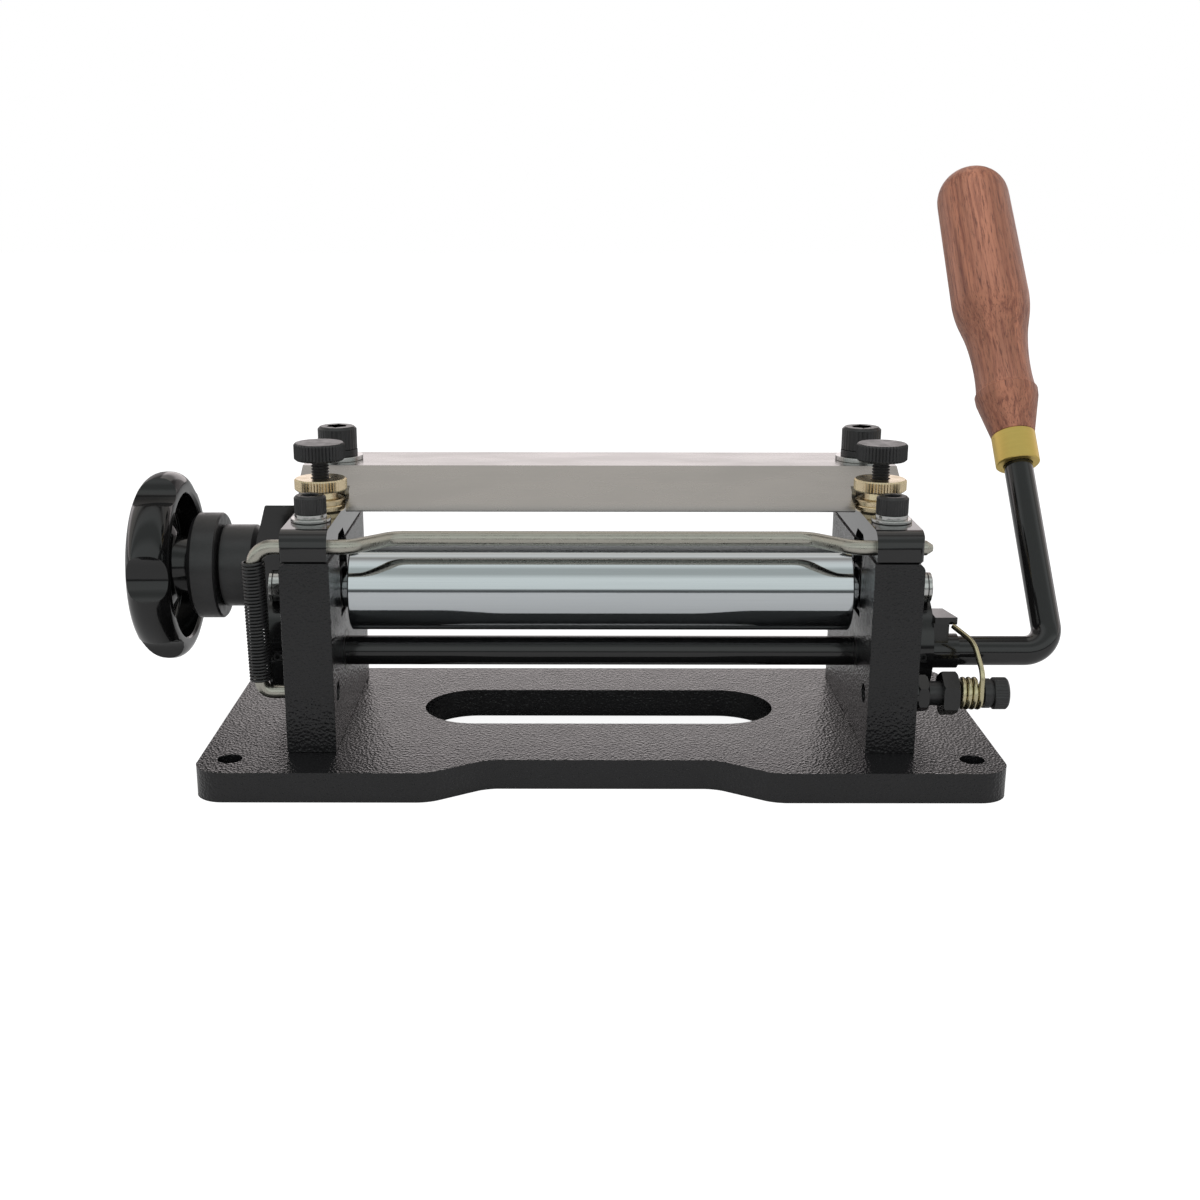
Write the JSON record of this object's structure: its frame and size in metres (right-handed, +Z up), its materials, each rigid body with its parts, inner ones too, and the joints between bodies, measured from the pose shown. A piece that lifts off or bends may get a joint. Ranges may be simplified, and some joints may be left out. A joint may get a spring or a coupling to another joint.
{
  "type": "leather splitting machine",
  "caption": "Bench leather splitter: a clamped blade over a roller that a hand lever raises with cams, with a sprung press bar and an adjusting knob.",
  "frame": {"origin": "centre of the four bench-bolt holes, on the underside of the base plate", "axes": "+X to the lever's side, +Y away from the user, +Z up, out of the bench"},
  "size_m": [0.3211, 0.1685, 0.1957],
  "materials": {
    "textured_black": "hammered black powder coat",
    "gloss_black": "smooth gloss black",
    "black_oxide": "black oxide steel",
    "blade_steel": "satin ground steel",
    "zinc": "bright zinc plated",
    "dark_steel": "plain machined steel",
    "brass": "turned and knurled brass",
    "ferrule_brass": "polished brass",
    "roller_chrome": "polished chrome",
    "rosewood": "turned hardwood, satin varnish",
    "nickel_wire": "nickel plated wire",
    "gold_zinc": "yellow passivated spring wire",
    "gloss_plastic_black": "polished black phenolic"
  },
  "bodies": {
    "frame": {"base_plate": "textured_black", "side_plate_left": "textured_black", "side_plate_right": "textured_black", "cap_block_left": "gloss_black", "cap_block_right": "gloss_black", "base_screws": "black_oxide", "blade": "blade_steel", "blade_flat_washers": "zinc", "blade_lock_washers": "black_oxide", "blade_clamp_screws": "black_oxide", "cap_flat_washers": "zinc", "cap_lock_washers": "zinc", "cap_screws": "black_oxide", "shaft_bushes": "dark_steel", "tension_spring": "black_oxide", "spring_anchor": "nickel_wire", "spring_post_washer": "gloss_black", "spring_post_nuts": "gloss_black", "torsion_spring": "gold_zinc", "spring_post_collar": "black_oxide", "spring_post_sleeve": "black_oxide", "spring_post_screw": "black_oxide", "knob_bracket": "gloss_black", "bracket_screws": "black_oxide", "knob_sleeve": "black_oxide"},
    "lever": {"lever_rod": "gloss_black", "cam_right": "gloss_black", "cam_left": "gloss_black", "cam_set_screws": "black_oxide", "lever_hub": "gloss_black", "ferrule": "ferrule_brass", "grip": "rosewood"},
    "axle": {"roller_axle": "zinc", "bearing_blocks": "dark_steel", "follower_rings": "zinc", "retaining_rings": "zinc"},
    "roller": {"roller_tube": "roller_chrome", "roller_end_plugs": "roller_chrome"},
    "press_bar": {"press_bar": "nickel_wire"},
    "spindle": {"knob_spindle": "zinc"},
    "knob": {"knob_collar": "black_oxide", "knob": "gloss_plastic_black"},
    "thumb_stud_left": {"thumb_stud_left": "black_oxide"},
    "thumb_head_left": {"thumb_head_left": "black_oxide"},
    "brass_nut_left": {"brass_nut_left": "brass"},
    "thumb_stud_right": {"thumb_stud_right": "black_oxide"},
    "thumb_head_right": {"thumb_head_right": "black_oxide"},
    "brass_nut_right": {"brass_nut_right": "brass"}
  },
  "joints": [
    {"name": "lever_hinge", "type": "hinge", "parent": "frame", "child": "lever", "pos_m": [0, -0.0063, 0.0359], "axis": [1, 0, 0], "range_deg": [0, 60], "stiffness_Nm_per_rad": 0.35, "springref_deg": -68.75, "deforming": ["torsion_spring"]},
    {"name": "roller_lift", "type": "slide", "parent": "frame", "child": "axle", "axis": [0, 0, 1], "range_m": [0, 0.0088]},
    {"name": "roller_spin", "type": "hinge", "parent": "axle", "child": "roller", "pos_m": [0, -0.0063, 0.0582], "axis": [1, 0, 0], "continuous": true},
    {"name": "press_bar_hinge", "type": "hinge", "parent": "frame", "child": "press_bar", "pos_m": [0, -0.0314, 0.0776], "axis": [1, 0, 0], "range_deg": [0, 15], "deforming": ["tension_spring"]},
    {"name": "spindle_feed", "type": "slide", "parent": "frame", "child": "spindle", "axis": [-1, 0, 0], "range_m": [0, 0.005]},
    {"name": "knob_turn", "type": "hinge", "parent": "spindle", "child": "knob", "pos_m": [-0.15, 0.024, 0.0582], "axis": [-1, 0, 0], "range_deg": [0, 1440]},
    {"name": "thumb_feed_left", "type": "slide", "parent": "frame", "child": "thumb_stud_left", "axis": [0, 0, -1], "range_m": [-0.003, 0.0039]},
    {"name": "thumb_turn_left", "type": "hinge", "parent": "thumb_stud_left", "child": "thumb_head_left", "pos_m": [-0.0938, 0, 0.103], "axis": [0, 0, -1], "range_deg": [-1080, 1404]},
    {"name": "nut_turn_left", "type": "hinge", "parent": "frame", "child": "brass_nut_left", "pos_m": [-0.0938, 0, 0.088], "axis": [0, 0, -1], "continuous": true},
    {"name": "thumb_feed_right", "type": "slide", "parent": "frame", "child": "thumb_stud_right", "axis": [0, 0, -1], "range_m": [-0.003, 0.0039]},
    {"name": "thumb_turn_right", "type": "hinge", "parent": "thumb_stud_right", "child": "thumb_head_right", "pos_m": [0.0938, 0, 0.103], "axis": [0, 0, -1], "range_deg": [-1080, 1404]},
    {"name": "nut_turn_right", "type": "hinge", "parent": "frame", "child": "brass_nut_right", "pos_m": [0.0938, 0, 0.088], "axis": [0, 0, -1], "continuous": true}
  ],
  "couplings": [
    {"joint": "roller_lift", "follows": "lever_hinge", "m_per_rad": 0.0084034},
    {"joint": "press_bar_hinge", "follows": "lever_hinge", "ratio": 0.25},
    {"joint": "spindle_feed", "follows": "knob_turn", "m_per_rad": 0.00019894},
    {"joint": "thumb_feed_left", "follows": "thumb_turn_left", "m_per_rad": 0.00015915},
    {"joint": "thumb_feed_right", "follows": "thumb_turn_right", "m_per_rad": 0.00015915}
  ]
}
